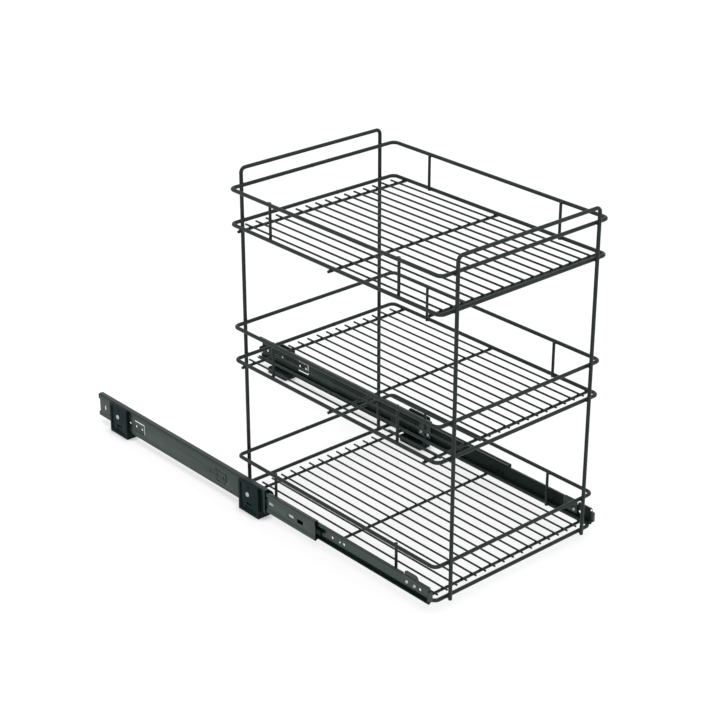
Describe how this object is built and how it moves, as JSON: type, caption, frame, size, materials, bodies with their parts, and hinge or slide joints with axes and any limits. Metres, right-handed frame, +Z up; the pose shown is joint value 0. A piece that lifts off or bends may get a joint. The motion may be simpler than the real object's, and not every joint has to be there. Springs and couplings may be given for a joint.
{
  "type": "pull-out wire basket",
  "caption": "Tall wire rack of stacked baskets on full-extension ball runners, screwed to a cabinet floor and pulled out to the front.",
  "frame": {"origin": "centre of the four floor screw holes, on the cabinet floor", "axes": "+Z up, -Y to the front where the rack is pulled out, +X to the right seen from the front"},
  "size_m": [0.4052, 0.9136, 0.6053],
  "materials": {
    "coated_wire": "satin powder-coated steel wire",
    "coated_sheet": "smooth e-coated sheet steel",
    "black_plastic": "moulded black plastic",
    "black_rubber": "matt black rubber",
    "bright_steel": "plain zinc-bright steel"
  },
  "bodies": {
    "cabinet_side": {"left_cabinet_rail": "coated_sheet", "left_rear_bumper": "black_rubber", "left_front_bracket": "black_plastic", "left_rear_bracket": "black_plastic", "right_cabinet_rail": "coated_sheet", "right_rear_bumper": "black_rubber", "right_front_bracket": "black_plastic", "right_rear_bracket": "black_plastic", "bracket_rivets": "bright_steel"},
    "rack": {"left_drawer_rail": "coated_sheet", "left_front_bumper": "black_plastic", "left_front_fixing_plate": "coated_sheet", "left_rear_fixing_plate": "coated_sheet", "right_drawer_rail": "coated_sheet", "right_front_bumper": "black_plastic", "right_front_fixing_plate": "coated_sheet", "right_rear_fixing_plate": "coated_sheet", "plate_rivets": "bright_steel", "front_hoop": "coated_wire", "rear_hoop": "coated_wire", "bottom_lower_rim": "coated_wire", "bottom_upper_rim": "coated_wire", "bottom_cross_wires": "coated_wire", "bottom_floor_wires": "coated_wire", "bottom_left_front_upright": "coated_wire", "bottom_left_rear_upright": "coated_wire", "bottom_right_front_upright": "coated_wire", "bottom_right_rear_upright": "coated_wire", "middle_lower_rim": "coated_wire", "middle_upper_rim": "coated_wire", "middle_cross_wires": "coated_wire", "middle_floor_wires": "coated_wire", "middle_left_front_upright": "coated_wire", "middle_left_rear_upright": "coated_wire", "middle_right_front_upright": "coated_wire", "middle_right_rear_upright": "coated_wire", "top_lower_rim": "coated_wire", "top_upper_rim": "coated_wire", "top_cross_wires": "coated_wire", "top_floor_wires": "coated_wire", "top_left_front_upright": "coated_wire", "top_left_rear_upright": "coated_wire", "top_right_front_upright": "coated_wire", "top_right_rear_upright": "coated_wire"},
    "left_intermediate": {"left_intermediate_rail": "coated_sheet", "left_rail_stop": "black_plastic"},
    "left_outer_cage": {"left_outer_ball_cage": "bright_steel", "left_outer_balls": "bright_steel"},
    "left_inner_cage": {"left_inner_ball_cage": "bright_steel", "left_inner_balls": "bright_steel"},
    "right_intermediate": {"right_intermediate_rail": "coated_sheet", "right_rail_stop": "black_plastic"},
    "right_outer_cage": {"right_outer_ball_cage": "bright_steel", "right_outer_balls": "bright_steel"},
    "right_inner_cage": {"right_inner_ball_cage": "bright_steel", "right_inner_balls": "bright_steel"}
  },
  "joints": [
    {"name": "rack_slide", "type": "slide", "parent": "cabinet_side", "child": "rack", "axis": [0, -1, 0], "range_m": [-0.4, 0.1]},
    {"name": "left_intermediate_slide", "type": "slide", "parent": "cabinet_side", "child": "left_intermediate", "axis": [0, -1, 0], "range_m": [-0.145, 0.03625]},
    {"name": "right_intermediate_slide", "type": "slide", "parent": "cabinet_side", "child": "right_intermediate", "axis": [0, -1, 0], "range_m": [-0.22, 0.055]},
    {"name": "left_outer_cage_slide", "type": "slide", "parent": "cabinet_side", "child": "left_outer_cage", "axis": [0, -1, 0], "range_m": [-0.0725, 0.01812]},
    {"name": "right_outer_cage_slide", "type": "slide", "parent": "cabinet_side", "child": "right_outer_cage", "axis": [0, -1, 0], "range_m": [-0.11, 0.0275]},
    {"name": "left_inner_cage_slide", "type": "slide", "parent": "cabinet_side", "child": "left_inner_cage", "axis": [0, -1, 0], "range_m": [-0.2725, 0.06813]},
    {"name": "right_inner_cage_slide", "type": "slide", "parent": "cabinet_side", "child": "right_inner_cage", "axis": [0, -1, 0], "range_m": [-0.31, 0.0775]}
  ],
  "couplings": [
    {"joint": "left_intermediate_slide", "follows": "rack_slide", "ratio": 0.3625},
    {"joint": "right_intermediate_slide", "follows": "rack_slide", "ratio": 0.55},
    {"joint": "left_outer_cage_slide", "follows": "rack_slide", "ratio": 0.18125},
    {"joint": "right_outer_cage_slide", "follows": "rack_slide", "ratio": 0.275},
    {"joint": "left_inner_cage_slide", "follows": "rack_slide", "ratio": 0.68125},
    {"joint": "right_inner_cage_slide", "follows": "rack_slide", "ratio": 0.775}
  ]
}
